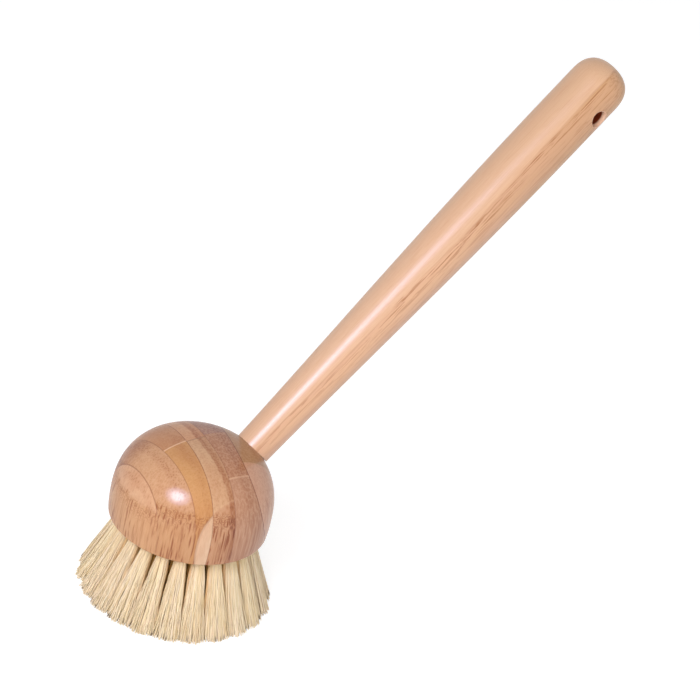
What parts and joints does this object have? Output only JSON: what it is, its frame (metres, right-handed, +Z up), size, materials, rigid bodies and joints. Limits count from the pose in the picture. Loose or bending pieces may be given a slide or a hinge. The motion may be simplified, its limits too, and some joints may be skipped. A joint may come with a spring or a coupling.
{
  "type": "vegetable brush",
  "caption": "Hand scrubbing brush: a domed laminated bamboo head with splayed plant-fibre tufts under it, on a long turned handle set at a slant.",
  "frame": {"origin": "centre of the flat trim of the bristles, on the head's axis", "axes": "+Z up along the head's axis, away from the bristles; +X towards the side that the handle leans to; +Y across, the way the hang hole is drilled to within 6 degrees"},
  "size_m": [0.2026, 0.0735, 0.1971],
  "materials": {
    "handle_bamboo": "clear satin lacquer on turned bamboo",
    "head_bamboo": "clear satin lacquer on turned, laminated bamboo",
    "bristle_fibre": "undyed stiff plant fibre, matt"
  },
  "bodies": {
    "root": {"handle": "handle_bamboo", "head_board_1": "head_bamboo", "head_board_2": "head_bamboo", "head_board_3": "head_bamboo", "head_board_4": "head_bamboo", "head_board_5": "head_bamboo", "head_board_6": "head_bamboo", "bristle_tuft_centre": "bristle_fibre", "bristle_tuft_inner_01": "bristle_fibre", "bristle_tuft_inner_02": "bristle_fibre", "bristle_tuft_inner_03": "bristle_fibre", "bristle_tuft_inner_04": "bristle_fibre", "bristle_tuft_inner_05": "bristle_fibre", "bristle_tuft_inner_06": "bristle_fibre", "bristle_tuft_inner_07": "bristle_fibre", "bristle_tuft_middle_01": "bristle_fibre", "bristle_tuft_middle_02": "bristle_fibre", "bristle_tuft_middle_03": "bristle_fibre", "bristle_tuft_middle_04": "bristle_fibre", "bristle_tuft_middle_05": "bristle_fibre", "bristle_tuft_middle_06": "bristle_fibre", "bristle_tuft_middle_07": "bristle_fibre", "bristle_tuft_middle_08": "bristle_fibre", "bristle_tuft_middle_09": "bristle_fibre", "bristle_tuft_middle_10": "bristle_fibre", "bristle_tuft_middle_11": "bristle_fibre", "bristle_tuft_middle_12": "bristle_fibre", "bristle_tuft_middle_13": "bristle_fibre", "bristle_tuft_middle_14": "bristle_fibre", "bristle_tuft_middle_15": "bristle_fibre", "bristle_tuft_outer_01": "bristle_fibre", "bristle_tuft_outer_02": "bristle_fibre", "bristle_tuft_outer_03": "bristle_fibre", "bristle_tuft_outer_04": "bristle_fibre", "bristle_tuft_outer_05": "bristle_fibre", "bristle_tuft_outer_06": "bristle_fibre", "bristle_tuft_outer_07": "bristle_fibre", "bristle_tuft_outer_08": "bristle_fibre", "bristle_tuft_outer_09": "bristle_fibre", "bristle_tuft_outer_10": "bristle_fibre", "bristle_tuft_outer_11": "bristle_fibre", "bristle_tuft_outer_12": "bristle_fibre", "bristle_tuft_outer_13": "bristle_fibre", "bristle_tuft_outer_14": "bristle_fibre", "bristle_tuft_outer_15": "bristle_fibre", "bristle_tuft_outer_16": "bristle_fibre", "bristle_tuft_outer_17": "bristle_fibre", "bristle_tuft_outer_18": "bristle_fibre", "bristle_tuft_outer_19": "bristle_fibre", "bristle_tuft_outer_20": "bristle_fibre", "bristle_tuft_outer_21": "bristle_fibre", "bristle_tuft_outer_22": "bristle_fibre"}
  },
  "joints": []
}
